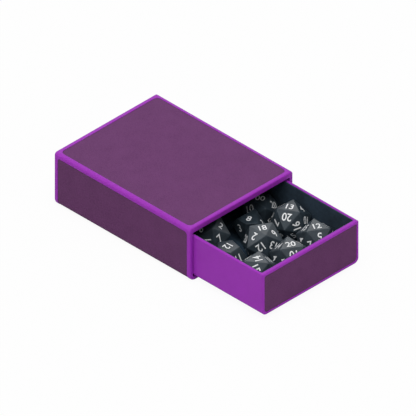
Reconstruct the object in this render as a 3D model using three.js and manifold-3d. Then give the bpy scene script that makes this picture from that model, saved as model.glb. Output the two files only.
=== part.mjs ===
// Dice storage chest: a wrapped-board sleeve, open at both ends, with a sliding drawer of dice.
// Millimetres. +Z is up, the drawer opens towards -Y, and the origin is the centre of the sleeve's underside.

import * as THREE from 'three';
import { ConvexGeometry } from 'three/addons/geometries/ConvexGeometry.js';
import { mergeVertices } from 'three/addons/utils/BufferGeometryUtils.js';
import Module from 'manifold-3d';

const wasm = await Module();
wasm.setup();

// Dice: the twenty-sided die sets the chest's width and height, and the rest of the set follows it
const dieFlats = 19.0;
const twelveFlatsShare = 0.863;
const tenRadiusShare = 0.537;
const dieRowWidthShare = 3.484;
const dieRestGap = 0.3;
const diceSideClearance = 0.3;
const diceHeadroom = 4.3;

// Drawer: purple cover, boards inside it, dark lining
const drawerInnerDepth = 94.4;
const drawerLining = 0.4;
const drawerSideBoard = 1.1;
const drawerSideSkin = 0.5;
const drawerEndBoard = 1.4;
const drawerEndSkin = 1.0;
const drawerFloorBoard = 1.9;
const drawerFloorSkin = 0.6;
const drawerLip = 0.6;
const drawerLiningDrop = 0.25;
const drawerBottomRadius = 3.0;
const drawerTopRadius = 0.7;
const drawerEndChamfer = 0.5;
const drawerPanelBorder = 1.5;
const drawerPanelTopBorder = 1.6;
const drawerPanelTopRadius = 0.8;
const drawerOut = 51.1;

// Running gaps between the drawer and the sleeve
const sideGap = 0.3;
const topGap = 1.8;
const bottomGap = 0.3;

// Sleeve: purple cover, boards inside it, lining
const sleeveLining = 0.3;
const sleeveSideBoard = 1.1;
const sleeveTopBoard = 1.9;
const sleeveBottomBoard = 0.9;
const sleeveSideSkin = 0.9;
const sleeveTopSkin = 1.0;
const sleeveBottomSkin = 0.9;
const sleeveBottomRadius = 4.4;
const sleeveTopChamfer = 1.1;
const sleeveEndChamfer = 1.1;
const sleeveMouthRadius = 1.6;
const sleeveRim = 2.6;
const sleeveBorderEnd = 2.4;
const sleeveBorderTop = 2.4;
const sleeveBorderSide = 2.9;
const sleeveTopPanelRadius = 2.6;
const sleeveSidePanelRadius = 1.8;
const sleeveTurnIn = 11.0;

// Inlaid panels, shared by the sleeve and the drawer
const panelThickness = 0.4;
const panelInset = 0.12;
const glueGap = 0.08;

const boardGap = 0.1;
const overrun = 1.0;
const arcSteps = 6;

// Drawer sizes that follow
const recessDepth = panelInset + panelThickness + glueGap;
const drawerSideLip = drawerSideSkin + drawerSideBoard;
const drawerEndLip = drawerEndSkin + drawerEndBoard;
const drawerInnerWidth = dieRowWidthShare * dieFlats + 2 * diceSideClearance;
const drawerWidth = drawerInnerWidth + 2 * (drawerSideLip + drawerLining);
const drawerDepth = drawerInnerDepth + 2 * (drawerEndLip + drawerLining);
const drawerFloor = drawerFloorSkin + drawerFloorBoard + drawerLining;
const drawerHeight = drawerFloor + dieFlats + diceHeadroom;

// Sleeve sizes that follow
const sleeveSideWall = sleeveSideSkin + sleeveSideBoard + sleeveLining;
const sleeveTopWall = sleeveTopSkin + sleeveTopBoard + sleeveLining;
const sleeveBottomWall = sleeveBottomSkin + sleeveBottomBoard + sleeveLining;
const cavityWidth = drawerWidth + 2 * sideGap;
const cavityHeight = drawerHeight + topGap + bottomGap;
const sleeveWidth = cavityWidth + 2 * sleeveSideWall;
const sleeveDepth = drawerDepth;
const sleeveHeight = cavityHeight + sleeveTopWall + sleeveBottomWall;
const cavityTop = sleeveBottomWall + cavityHeight;

// Finishes
const purple = new THREE.MeshStandardMaterial({ color: 0x8b33a1, roughness: 0.45, metalness: 0 });
const plum = new THREE.MeshStandardMaterial({ color: 0x6e456f, roughness: 0.7, metalness: 0 });
const slate = new THREE.MeshStandardMaterial({ color: 0x223036, roughness: 0.95, metalness: 0 });
const board = new THREE.MeshStandardMaterial({ color: 0x8c857a, roughness: 0.9, metalness: 0 });
const charcoal = new THREE.MeshStandardMaterial({ color: 0x3a4147, roughness: 0.5, metalness: 0 });

// Booleans
function solid(geometry) {
  const bare = geometry.index ? geometry.toNonIndexed() : geometry.clone();
  bare.deleteAttribute('normal');
  bare.deleteAttribute('uv');
  const merged = mergeVertices(bare, 1e-5);
  return new wasm.Manifold(new wasm.Mesh({
    numProp: 3,
    vertProperties: new Float32Array(merged.attributes.position.array),
    triVerts: new Uint32Array(merged.index.array),
  }));
}

function geometryOf(manifold) {
  const mesh = manifold.getMesh();
  const geometry = new THREE.BufferGeometry();
  geometry.setAttribute('position', new THREE.BufferAttribute(new Float32Array(mesh.vertProperties), 3));
  geometry.setIndex(new THREE.BufferAttribute(new Uint32Array(mesh.triVerts), 1));
  return geometry;
}

function subtractAll(base, cutters) {
  return cutters.reduce((body, cutter) => body.subtract(cutter), base);
}

// A box from its lowest to its highest corner
function block(low, high) {
  const size = high.map((value, axis) => value - low[axis]);
  const centre = high.map((value, axis) => (value + low[axis]) / 2);
  const geometry = new THREE.BoxGeometry(...size);
  geometry.translate(...centre);
  return geometry;
}

// A rectangle with a radius for its lower corners and another for its upper ones
function roundedRectangle(left, right, bottom, top, lowerRadius, upperRadius) {
  const shape = new THREE.Shape();
  shape.moveTo(left + lowerRadius, bottom);
  shape.lineTo(right - lowerRadius, bottom);
  shape.absarc(right - lowerRadius, bottom + lowerRadius, lowerRadius, -Math.PI / 2, 0);
  shape.lineTo(right, top - upperRadius);
  shape.absarc(right - upperRadius, top - upperRadius, upperRadius, 0, Math.PI / 2);
  shape.lineTo(left + upperRadius, top);
  shape.absarc(left + upperRadius, top - upperRadius, upperRadius, Math.PI / 2, Math.PI);
  shape.lineTo(left, bottom + lowerRadius);
  shape.absarc(left + lowerRadius, bottom + lowerRadius, lowerRadius, Math.PI, 1.5 * Math.PI);
  return shape;
}

// The sleeve's section, drawn in by an inset: chamfered top edges and rounded bottom edges
function sleeveSection(inset) {
  const half = sleeveWidth / 2 - inset;
  const top = sleeveHeight - inset;
  const radius = sleeveBottomRadius - inset;
  const chamfer = sleeveTopChamfer - inset * (2 - Math.SQRT2);
  const shape = new THREE.Shape();
  shape.moveTo(-half + radius, inset);
  shape.lineTo(half - radius, inset);
  shape.absarc(half - radius, inset + radius, radius, -Math.PI / 2, 0);
  shape.lineTo(half, top - chamfer);
  shape.lineTo(half - chamfer, top);
  shape.lineTo(-half + chamfer, top);
  shape.lineTo(-half, top - chamfer);
  shape.lineTo(-half, inset + radius);
  shape.absarc(-half + radius, inset + radius, radius, Math.PI, 1.5 * Math.PI);
  return shape;
}

// A section in X and Z made into a bar along Y, centred on Y = 0, with its end edges chamfered
function alongY(shape, depth, chamfer = 0) {
  const geometry = new THREE.ExtrudeGeometry(shape, {
    depth: depth - 2 * chamfer,
    curveSegments: arcSteps,
    bevelEnabled: chamfer > 0,
    bevelThickness: chamfer,
    bevelSize: chamfer,
    bevelOffset: -chamfer,
    bevelSegments: 1,
  });
  geometry.rotateX(Math.PI / 2);
  geometry.translate(0, depth / 2 - chamfer, 0);
  return geometry;
}

// An outline in Y and Z made into a plate along X
function alongX(shape, from, to) {
  const geometry = new THREE.ExtrudeGeometry(shape, {
    depth: to - from, curveSegments: arcSteps, bevelEnabled: false,
  });
  geometry.rotateX(Math.PI / 2);
  geometry.rotateZ(Math.PI / 2);
  geometry.translate(from, 0, 0);
  return geometry;
}

// An outline in X and Y made into a plate along Z
function alongZ(shape, from, to) {
  const geometry = new THREE.ExtrudeGeometry(shape, {
    depth: to - from, curveSegments: arcSteps, bevelEnabled: false,
  });
  geometry.translate(0, 0, from);
  return geometry;
}

function node(name, geometry, material) {
  const mesh = new THREE.Mesh(geometry, material.clone());
  mesh.name = name;
  return mesh;
}

// Sleeve

// Outline of the top panel, drawn in by an inset
function topPanelOutline(inset) {
  const halfX = sleeveWidth / 2 - sleeveBorderTop - inset;
  const halfY = sleeveDepth / 2 - sleeveBorderEnd - inset;
  const radius = sleeveTopPanelRadius - inset;
  return roundedRectangle(-halfX, halfX, -halfY, halfY, radius, radius);
}

// Outline of the side panels in Y and Z: it runs on below the underside, because the panel turns under
function sidePanelOutline(inset) {
  const halfY = sleeveDepth / 2 - sleeveBorderEnd - inset;
  const top = sleeveHeight - sleeveBorderSide - inset;
  const shape = new THREE.Shape();
  const radius = sleeveSidePanelRadius - inset;
  shape.moveTo(-halfY, -overrun);
  shape.lineTo(halfY, -overrun);
  shape.lineTo(halfY, top - radius);
  shape.absarc(halfY - radius, top - radius, radius, 0, Math.PI / 2);
  shape.lineTo(-halfY + radius, top);
  shape.absarc(-halfY + radius, top - radius, radius, Math.PI / 2, Math.PI);
  return shape;
}

// The layer between two insets of the sleeve's section, where the side panels and their recess lie
function sideLayer(outerInset, innerInset, outlineInset) {
  const outer = solid(alongY(sleeveSection(outerInset), sleeveDepth));
  const inner = solid(alongY(sleeveSection(innerInset), sleeveDepth + overrun));
  const reach = sleeveWidth / 2 + overrun;
  const mask = solid(alongX(sidePanelOutline(outlineInset), -reach, reach));
  return outer.subtract(inner).intersect(mask);
}

// Each wall's pocket holds a board and, flush with the cavity, a lining sheet
function sleeveWalls() {
  const halfDepth = sleeveDepth / 2 - sleeveRim;
  const halfWidth = cavityWidth / 2 - sleeveLining;
  const halfBase = sleeveWidth / 2 - sleeveBottomRadius;
  const sideLow = Math.max(sleeveBottomRadius, sleeveBottomWall);
  const sideHigh = cavityTop - sleeveLining;
  const side = (sign) => ({
    axis: 0, sign, face: cavityWidth / 2, boardThickness: sleeveSideBoard,
    low: [0, -halfDepth, sideLow], high: [0, halfDepth, sideHigh],
  });
  return {
    left: side(-1),
    right: side(1),
    top: {
      axis: 2, sign: 1, face: cavityTop, boardThickness: sleeveTopBoard,
      low: [-halfWidth, -halfDepth, 0], high: [halfWidth, halfDepth, 0],
    },
    bottom: {
      axis: 2, sign: -1, face: -sleeveBottomWall, boardThickness: sleeveBottomBoard,
      low: [-halfBase, -halfDepth, 0], high: [halfBase, halfDepth, 0],
    },
  };
}

// One layer of a wall: from one distance to another behind the wall's inner face, drawn in by a gap
function wallLayer(wall, from, to, gap) {
  const low = wall.low.map((value) => value + gap);
  const high = wall.high.map((value) => value - gap);
  const ends = [wall.sign * (wall.face + from), wall.sign * (wall.face + to)];
  low[wall.axis] = Math.min(...ends);
  high[wall.axis] = Math.max(...ends);
  return block(low, high);
}

function sleeveCover() {
  const outer = solid(alongY(sleeveSection(0), sleeveDepth, sleeveEndChamfer));
  const mouth = roundedRectangle(
    -cavityWidth / 2, cavityWidth / 2, sleeveBottomWall, cavityTop, sleeveMouthRadius, sleeveMouthRadius / 2);
  const cavity = solid(alongY(mouth, sleeveDepth + 2 * overrun));
  const pockets = Object.values(sleeveWalls()).map(
    (wall) => solid(wallLayer(wall, -overrun, sleeveLining + wall.boardThickness, 0)));
  const topRecess = solid(alongZ(topPanelOutline(0), sleeveHeight - recessDepth, sleeveHeight + overrun));
  const sideRecess = sideLayer(-overrun, recessDepth, 0);
  return geometryOf(subtractAll(outer, [cavity, ...pockets, topRecess, sideRecess]));
}

function sleeveTopPanel() {
  const top = sleeveHeight - panelInset;
  return alongZ(topPanelOutline(glueGap), top - panelThickness, top);
}

// A side panel covers one side, rounds the bottom edge and turns in under the base
function sleeveSidePanel(sign) {
  const layer = sideLayer(panelInset, panelInset + panelThickness, glueGap);
  const half = sleeveWidth / 2;
  const reach = sleeveDepth / 2;
  const ends = [sign * (half - sleeveTurnIn), sign * (half + overrun)];
  const keep = block([Math.min(...ends), -reach, -overrun], [Math.max(...ends), reach, sleeveHeight]);
  return geometryOf(layer.intersect(solid(keep)));
}

// The base sheet covers the underside between the two turn-ins, and is what the chest rests on
function sleeveBaseSheet() {
  const halfX = sleeveWidth / 2 - sleeveTurnIn - glueGap;
  const halfY = sleeveDepth / 2 - sleeveBorderEnd - glueGap;
  return block([-halfX, -halfY, 0], [halfX, halfY, panelInset + panelThickness]);
}

function buildSleeve() {
  const sleeve = new THREE.Group();
  sleeve.add(node('sleeve_cover', sleeveCover(), purple));
  sleeve.add(node('sleeve_top_panel', sleeveTopPanel(), plum));
  sleeve.add(node('sleeve_left_panel', sleeveSidePanel(-1), plum));
  sleeve.add(node('sleeve_right_panel', sleeveSidePanel(1), plum));
  sleeve.add(node('sleeve_base_sheet', sleeveBaseSheet(), plum));
  for (const [name, wall] of Object.entries(sleeveWalls())) {
    const lining = wallLayer(wall, 0, sleeveLining, boardGap);
    const core = wallLayer(wall, sleeveLining, sleeveLining + wall.boardThickness, boardGap);
    sleeve.add(node(`sleeve_${name}_lining`, lining, slate));
    sleeve.add(node(`sleeve_${name}_board`, core, board));
  }
  return sleeve;
}

// Drawer, drawn closed inside the sleeve: its group carries it out to where it stands

const drawerBottom = sleeveBottomWall + bottomGap;
const drawerTop = drawerBottom + drawerHeight;
const drawerFloorTop = drawerBottom + drawerFloor;
const lipHalfWidth = drawerWidth / 2 - drawerSideLip;
const lipHalfDepth = drawerDepth / 2 - drawerEndLip;
const boardFoot = drawerBottom + Math.max(drawerBottomRadius, drawerFloor);
const boardHead = drawerTop - drawerLip;

// A box that stands on one side, or at one end, of the drawer
function sideBlock(sign, from, to, halfDepth, bottom, top, gap) {
  const ends = [sign * from, sign * to];
  return block([Math.min(...ends), -halfDepth + gap, bottom + gap], [Math.max(...ends), halfDepth - gap, top - gap]);
}

function endBlock(sign, from, to, halfWidth, bottom, top, gap) {
  const ends = [sign * from, sign * to];
  return block([-halfWidth + gap, Math.min(...ends), bottom + gap], [halfWidth - gap, Math.max(...ends), top - gap]);
}

const sideBoardBox = (sign, gap) => sideBlock(
  sign, lipHalfWidth, lipHalfWidth + drawerSideBoard, lipHalfDepth, boardFoot, boardHead, gap);
const endBoardBox = (sign, gap) => endBlock(
  sign, lipHalfDepth, lipHalfDepth + drawerEndBoard, lipHalfWidth, boardFoot, boardHead, gap);

function floorBoardBox(gap) {
  const halfX = drawerWidth / 2 - drawerBottomRadius - gap;
  const halfY = lipHalfDepth - gap;
  const bottom = drawerBottom + drawerFloorSkin;
  return block([-halfX, -halfY, bottom], [halfX, halfY, bottom + drawerFloorBoard]);
}

// Outline of the plum panel on each end of the drawer, in X and Z
function endPanelOutline(inset) {
  const half = drawerWidth / 2 - drawerPanelBorder - inset;
  const bottom = drawerBottom + drawerPanelBorder + inset;
  const top = drawerTop - drawerPanelTopBorder - inset;
  const lowerRadius = drawerBottomRadius - drawerPanelBorder / 2 - inset;
  return roundedRectangle(-half, half, bottom, top, lowerRadius, drawerPanelTopRadius - inset);
}

function endPanel(sign, inset, thickness, depthFromFace) {
  const geometry = alongY(endPanelOutline(inset), thickness);
  geometry.translate(0, sign * (drawerDepth / 2 - depthFromFace - thickness / 2), 0);
  return geometry;
}

function drawerCover() {
  const half = drawerWidth / 2;
  const section = roundedRectangle(-half, half, drawerBottom, drawerTop, drawerBottomRadius, drawerTopRadius);
  const outer = solid(alongY(section, drawerDepth, drawerEndChamfer));
  const interior = block(
    [-lipHalfWidth, -lipHalfDepth, drawerFloorTop - drawerLining],
    [lipHalfWidth, lipHalfDepth, drawerTop + overrun]);
  const cutters = [solid(interior), solid(floorBoardBox(0))];
  for (const sign of [-1, 1]) {
    cutters.push(solid(sideBoardBox(sign, 0)));
    cutters.push(solid(endBoardBox(sign, 0)));
    cutters.push(solid(endPanel(sign, 0, recessDepth + overrun, -overrun)));
  }
  return geometryOf(subtractAll(outer, cutters));
}

function buildDrawer() {
  const drawer = new THREE.Group();
  const liningHead = drawerTop - drawerLiningDrop;
  drawer.add(node('drawer_cover', drawerCover(), purple));
  drawer.add(node('drawer_front_panel', endPanel(-1, glueGap, panelThickness, panelInset), plum));
  drawer.add(node('drawer_back_panel', endPanel(1, glueGap, panelThickness, panelInset), plum));
  drawer.add(node('drawer_floor_board', floorBoardBox(boardGap), board));
  drawer.add(node('drawer_floor_lining', block(
    [-lipHalfWidth + boardGap, -lipHalfDepth + boardGap, drawerFloorTop - drawerLining],
    [lipHalfWidth - boardGap, lipHalfDepth - boardGap, drawerFloorTop]), slate));
  for (const [name, sign] of [['left', -1], ['right', 1]]) {
    drawer.add(node(`drawer_${name}_board`, sideBoardBox(sign, boardGap), board));
    drawer.add(node(`drawer_${name}_lining`, sideBlock(
      sign, lipHalfWidth, lipHalfWidth - drawerLining, lipHalfDepth - drawerLining,
      drawerFloorTop, liningHead, boardGap), slate));
  }
  for (const [name, sign] of [['front', -1], ['back', 1]]) {
    drawer.add(node(`drawer_${name}_board`, endBoardBox(sign, boardGap), board));
    drawer.add(node(`drawer_${name}_lining`, endBlock(
      sign, lipHalfDepth, lipHalfDepth - drawerLining, lipHalfWidth,
      drawerFloorTop, liningHead, boardGap), slate));
  }
  drawer.add(buildDice());
  drawer.position.y = -drawerOut;
  return drawer;
}

// Dice: each lies flat on one face, and its turn is where the first corner of its top face points

function ring(count, radius, height, turn) {
  return Array.from({ length: count }, (unused, index) => {
    const angle = THREE.MathUtils.degToRad(turn + 360 * index / count);
    return new THREE.Vector3(radius * Math.cos(angle), radius * Math.sin(angle), height);
  });
}

// Regular icosahedron lying on a face, from the distance between opposite faces
function twentySided(flats) {
  const edge = flats / ((3 + Math.sqrt(5)) / Math.sqrt(12));
  const cap = edge / Math.sqrt(3);
  const belt = cap * (1 + Math.sqrt(5)) / 2;
  const beltHeight = Math.sqrt(edge * edge - (belt * belt + cap * cap - belt * cap));
  const height = flats / 2;
  return [
    ...ring(3, cap, height, 0),
    ...ring(3, belt, height - beltHeight, 60),
    ...ring(3, belt, beltHeight - height, 0),
    ...ring(3, cap, -height, 60),
  ];
}

// Regular dodecahedron lying on a face
function twelveSided(flats) {
  const golden = (1 + Math.sqrt(5)) / 2;
  const edge = flats / Math.sqrt((25 + 11 * Math.sqrt(5)) / 10);
  const cap = edge / (2 * Math.sin(Math.PI / 5));
  const belt = cap * golden;
  const height = flats / 2;
  const beltHeight = height / (golden ** 3);
  return [
    ...ring(5, cap, height, 0),
    ...ring(5, belt, beltHeight, 0),
    ...ring(5, belt, -beltHeight, 36),
    ...ring(5, cap, -height, 36),
  ];
}

// Pentagonal trapezohedron lying on a face, from the radius of its points
function tenSided(radius) {
  const zigzag = radius * Math.tan(Math.PI / 10) ** 2;
  const points = [
    new THREE.Vector3(0, 0, radius),
    new THREE.Vector3(0, 0, -radius),
    ...ring(5, radius, -zigzag, 0),
    ...ring(5, radius, zigzag, 36),
  ];
  const lean = Math.atan2(radius + zigzag, radius);
  return points.map((point) => point.applyAxisAngle(new THREE.Vector3(0, 1, 0), -lean));
}

// Places across from the drawer's middle, and back from the inside of its front, as shares of a die
function buildDice() {
  const twenty = twentySided(dieFlats);
  const twelve = twelveSided(dieFlats * twelveFlatsShare);
  const ten = tenSided(dieFlats * tenRadiusShare);
  const placeShares = [
    ['d20_die_1', twenty, -1.171, 0.750, 37],
    ['d20_die_2', twenty, -0.046, 0.591, 59],
    ['d20_die_3', twenty, 1.077, 0.691, 59],
    ['d20_die_4', twenty, -0.034, 1.684, 0],
    ['d20_die_5', twenty, 1.205, 1.870, 30],
    ['d20_die_6', twenty, -0.815, 2.975, 0],
    ['d12_die', twelve, -1.202, 1.880, 23],
    ['d10_die', ten, 0.404, 2.598, 206],
    ['d10_tens_die', ten, 1.138, 2.907, 61],
  ];
  const dice = new THREE.Group();
  for (const [name, points, acrossShare, backShare, turn] of placeShares) {
    const die = node(name, new ConvexGeometry(points), charcoal);
    const lowest = Math.min(...points.map((point) => point.z));
    die.position.set(
      acrossShare * dieFlats,
      backShare * dieFlats - drawerInnerDepth / 2,
      drawerFloorTop + dieRestGap - lowest);
    die.rotation.z = THREE.MathUtils.degToRad(turn);
    dice.add(die);
  }
  return dice;
}

const group = new THREE.Group();
group.add(buildSleeve());
group.add(buildDrawer());

export default group;
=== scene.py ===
"""Dice storage chest: the finished look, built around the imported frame.

Every length is in metres. +Z is up, the drawer opens towards -Y, and the origin is the centre of the
sleeve's underside.
"""

import math

import bmesh
import bpy
from mathutils import Matrix, Vector


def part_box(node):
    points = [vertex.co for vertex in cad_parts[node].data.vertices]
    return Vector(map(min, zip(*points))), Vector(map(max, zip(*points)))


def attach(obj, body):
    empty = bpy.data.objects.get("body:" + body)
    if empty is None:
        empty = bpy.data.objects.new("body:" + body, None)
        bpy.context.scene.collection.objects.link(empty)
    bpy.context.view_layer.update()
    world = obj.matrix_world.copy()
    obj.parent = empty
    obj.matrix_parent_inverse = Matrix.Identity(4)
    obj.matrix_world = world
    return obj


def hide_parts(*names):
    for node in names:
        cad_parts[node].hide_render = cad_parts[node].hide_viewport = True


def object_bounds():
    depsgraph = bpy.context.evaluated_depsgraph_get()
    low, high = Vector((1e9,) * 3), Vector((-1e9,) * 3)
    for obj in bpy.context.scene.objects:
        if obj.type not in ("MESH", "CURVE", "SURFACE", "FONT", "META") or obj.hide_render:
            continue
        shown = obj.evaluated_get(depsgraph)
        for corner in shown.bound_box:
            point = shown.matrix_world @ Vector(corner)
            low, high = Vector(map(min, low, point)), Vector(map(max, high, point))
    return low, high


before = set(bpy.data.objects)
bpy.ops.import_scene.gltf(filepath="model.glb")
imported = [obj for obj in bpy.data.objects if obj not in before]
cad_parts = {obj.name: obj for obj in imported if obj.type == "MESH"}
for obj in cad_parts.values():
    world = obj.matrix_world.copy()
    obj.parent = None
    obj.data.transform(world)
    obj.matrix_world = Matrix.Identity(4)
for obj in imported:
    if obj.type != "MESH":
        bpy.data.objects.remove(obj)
CAD_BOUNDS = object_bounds()

bl_info = {
    "name": "Dice storage chest",
    "version": (1, 0, 0),
    "blender": (4, 5, 0),
    "location": "3D View > Sidebar > Dice chest",
    "description": "Builds a wrapped-board dice chest with a sliding drawer of dice",
    "category": "Object",
}

MM = 0.001

# The photograph's frame, in its own pixels
IMAGE_SIZE = 416
ORIGIN_PIXEL = (173.6, 214.25)
PIXELS_PER_MM = 1.92


# Sizes read from the frame

BOXES = {name: tuple(Vector(corner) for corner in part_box(name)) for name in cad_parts}


def low(node):
    """Lowest corner of a CAD node."""
    return BOXES[node][0]


def high(node):
    """Highest corner of a CAD node."""
    return BOXES[node][1]


# Settings

class ChestShape(bpy.types.PropertyGroup):
    """Roundings and fine clearances of the covers, panels and linings."""

    sleeve_top_round: bpy.props.FloatProperty(
        name="Sleeve top edge", description="Radius of the sleeve's long upper edges",
        default=1.8 * MM, unit="LENGTH", subtype="DISTANCE")
    sleeve_bottom_round: bpy.props.FloatProperty(
        name="Sleeve bottom edge", description="Radius of the sleeve's long lower edges",
        default=4.4 * MM, unit="LENGTH", subtype="DISTANCE")
    sleeve_end_round: bpy.props.FloatProperty(
        name="Sleeve end edge", description="Radius around the sleeve's two end rims",
        default=0.8 * MM, unit="LENGTH", subtype="DISTANCE")
    sleeve_mouth_round: bpy.props.FloatProperty(
        name="Sleeve mouth edge", description="Radius of the edge where a rim turns into the bore",
        default=0.25 * MM, unit="LENGTH", subtype="DISTANCE")
    drawer_bottom_round: bpy.props.FloatProperty(
        name="Drawer bottom edge", description="Radius of the drawer's long lower edges",
        default=3.0 * MM, unit="LENGTH", subtype="DISTANCE")
    drawer_rim_round: bpy.props.FloatProperty(
        name="Drawer rim edge", description="Radius of the edges along the drawer's rim",
        default=0.8 * MM, unit="LENGTH", subtype="DISTANCE")
    drawer_end_round: bpy.props.FloatProperty(
        name="Drawer end edge", description="Radius around the drawer's front and back",
        default=0.6 * MM, unit="LENGTH", subtype="DISTANCE")
    recess_depth: bpy.props.FloatProperty(
        name="Recess depth", description="Depth of the recesses that the panels lie in",
        default=0.6 * MM, unit="LENGTH", subtype="DISTANCE")
    recess_lip: bpy.props.FloatProperty(
        name="Recess lip", description="Radius of the cover's edge around each panel",
        default=0.22 * MM, unit="LENGTH", subtype="DISTANCE")
    panel_gap: bpy.props.FloatProperty(
        name="Panel gap", description="Gap between a panel's edge and its recess",
        default=0.08 * MM, unit="LENGTH", subtype="DISTANCE")
    panel_edge: bpy.props.FloatProperty(
        name="Panel edge", description="Radius of a panel's upper edge",
        default=0.22 * MM, unit="LENGTH", subtype="DISTANCE")
    die_edge: bpy.props.FloatProperty(
        name="Die edge", description="Width of the rounding along a die's edges",
        default=0.35 * MM, unit="LENGTH", subtype="DISTANCE")
    numeral_height: bpy.props.FloatProperty(
        name="Numeral height", description="Height of the numerals on the dice",
        default=4.3 * MM, unit="LENGTH", subtype="DISTANCE")
    numeral_stroke: bpy.props.FloatProperty(
        name="Numeral stroke", description="Amount by which the numerals' strokes are thickened",
        default=0.07 * MM, unit="LENGTH", subtype="DISTANCE")


class ChestFinish(bpy.types.PropertyGroup):
    """Colours and roughness of the finishes."""

    purple: bpy.props.FloatVectorProperty(
        name="Purple", description="Smooth purple leatherette of the covers",
        default=(0.325, 0.030, 0.450), size=3, min=0, max=1, subtype="COLOR")
    plum: bpy.props.FloatVectorProperty(
        name="Plum", description="Grained plum leatherette of the top panel and the base sheet",
        default=(0.148, 0.050, 0.150), size=3, min=0, max=1, subtype="COLOR")
    # Painted shade: a darker copy of the plum for the side, front and back panels, standing in for those
    # faces getting less light than the top
    dark_plum: bpy.props.FloatVectorProperty(
        name="Dark plum", description="Grained leatherette of the side, front and back panels",
        default=(0.131, 0.0450, 0.128), size=3, min=0, max=1, subtype="COLOR")
    slate: bpy.props.FloatVectorProperty(
        name="Slate", description="Dark microfibre of the linings",
        default=(0.0325, 0.0550, 0.0810), size=3, min=0, max=1, subtype="COLOR")
    charcoal: bpy.props.FloatVectorProperty(
        name="Charcoal", description="Body of the dice",
        default=(0.026, 0.037, 0.047), size=3, min=0, max=1, subtype="COLOR")
    paint: bpy.props.FloatVectorProperty(
        name="Numeral paint", description="White paint of the numerals",
        default=(0.86, 0.87, 0.88), size=3, min=0, max=1, subtype="COLOR")
    greyboard: bpy.props.FloatVectorProperty(
        name="Greyboard", description="Raw board inside the walls",
        default=(0.26, 0.235, 0.20), size=3, min=0, max=1, subtype="COLOR")
    grain_size: bpy.props.FloatProperty(
        name="Grain size", description="Width of one pebble of the panels' grain",
        default=0.55 * MM, unit="LENGTH", subtype="DISTANCE")


class ChestStage(bpy.types.PropertyGroup):
    """Camera, floor and lights."""

    elevation: bpy.props.FloatProperty(
        name="Camera elevation", description="Angle of the camera above the floor",
        default=math.radians(35.0), unit="ROTATION", subtype="ANGLE")
    azimuth: bpy.props.FloatProperty(
        name="Camera azimuth", description="Turn of the camera to the left of the drawer's front",
        default=math.radians(45.0), unit="ROTATION", subtype="ANGLE")
    key_strength: bpy.props.FloatProperty(
        name="Key light", description="Strength of the soft light from above",
        default=2.15, min=0)
    softbox_strength: bpy.props.FloatProperty(
        name="Softbox", description="Strength of the glow that the softbox leaves on glossy surfaces",
        default=5.0, min=0)
    sky_strength: bpy.props.FloatProperty(
        name="Sky light", description="Strength of the even light from all around",
        default=0.34, min=0)
    floor: bpy.props.FloatVectorProperty(
        name="Floor", description="Colour of the floor",
        default=(0.85, 0.85, 0.85), size=3, min=0, max=1, subtype="COLOR")


def shape():
    """The scene's shape settings."""
    return bpy.context.scene.chest_shape


def finish():
    """The scene's finish settings."""
    return bpy.context.scene.chest_finish


# Mesh building

LEAST_CORNER = 0.02 * MM
SMOOTH_ANGLE = math.radians(35.0)
FLAT_FACE_WEIGHT = 100


def quarter(steps):
    """Angles from 0 to a right angle."""
    return [math.pi / 2 * step / steps for step in range(steps + 1)]


def section_loop(half, bottom, top, lower, upper, steps=10):
    """Corner points, in X and Z, of a rectangle with rounded lower and upper corners."""
    corners = (
        (half - lower, bottom + lower, lower, -math.pi / 2),
        (half - upper, top - upper, upper, 0.0),
        (-half + upper, top - upper, upper, math.pi / 2),
        (-half + lower, bottom + lower, lower, math.pi),
    )
    return [
        (x + radius * math.cos(start + angle), z + radius * math.sin(start + angle))
        for x, z, radius, start in corners for angle in quarter(steps)
    ]


def section_ring(y, *section):
    """Points of a section, given as section_loop takes it, at one place along Y."""
    return [Vector((x, y, z)) for x, z in section_loop(*section)]


def cover_ring(node, inset, y, lower_round, upper_round):
    """A ring round a cover node's outside, drawn in by inset."""
    lower, upper = low(node), high(node)
    return section_ring(
        y, upper.x - inset, lower.z + inset, upper.z - inset, lower_round - inset, upper_round - inset)


def end_fillet(radius, steps=6):
    """(inset, depth) pairs that round a section's end, from its end face to its side."""
    return [(radius * (1 - math.sin(angle)), radius * (1 - math.cos(angle))) for angle in quarter(steps)]


def cover_stations(node, radius):
    """(inset, y) of the rings along a cover node's outside, rounded at its front and back."""
    fillet = end_fillet(radius)
    front = [(inset, low(node).y + depth) for inset, depth in fillet]
    back = [(inset, high(node).y - depth) for inset, depth in reversed(fillet)]
    return front + back


def bridge(bm, first, second):
    """Faces between two closed loops of as many vertices."""
    for index, corner in enumerate(first):
        after = (index + 1) % len(first)
        bm.faces.new((corner, first[after], second[after], second[index]))


def loft(rings, loop=False):
    """A closed mesh through rings of points: capped at both ends, or joined end to end."""
    bm = bmesh.new()
    rows = [[bm.verts.new(point) for point in ring] for ring in rings]
    for first, second in zip(rows, rows[1:]):
        bridge(bm, first, second)
    if loop:
        bridge(bm, rows[-1], rows[0])
    else:
        bm.faces.new(rows[0])
        bm.faces.new(rows[-1])
    bmesh.ops.recalc_face_normals(bm, faces=bm.faces)
    return bm


def inlay_grid(half, start, stop, start_radius, stop_radius, inset, rows, columns, corner_steps=6):
    """Rows of (along, across) points that fill a rectangle with rounded corners, drawn in by inset."""
    half, start, stop = half - inset, start + inset, stop - inset
    first = max(start_radius - inset, LEAST_CORNER)
    last = max(stop_radius - inset, LEAST_CORNER)
    arc = quarter(corner_steps)
    stations = [(start + first * (1 - math.cos(a)), half - first * (1 - math.sin(a))) for a in arc]
    span = (stop - last) - (start + first)
    stations += [(start + first + span * row / rows, half) for row in range(1, rows)]
    stations += [(stop - last * (1 - math.cos(a)), half - last * (1 - math.sin(a))) for a in reversed(arc)]
    return [
        [(along, reach * (2 * column / columns - 1)) for column in range(columns + 1)]
        for along, reach in stations
    ]


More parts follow.
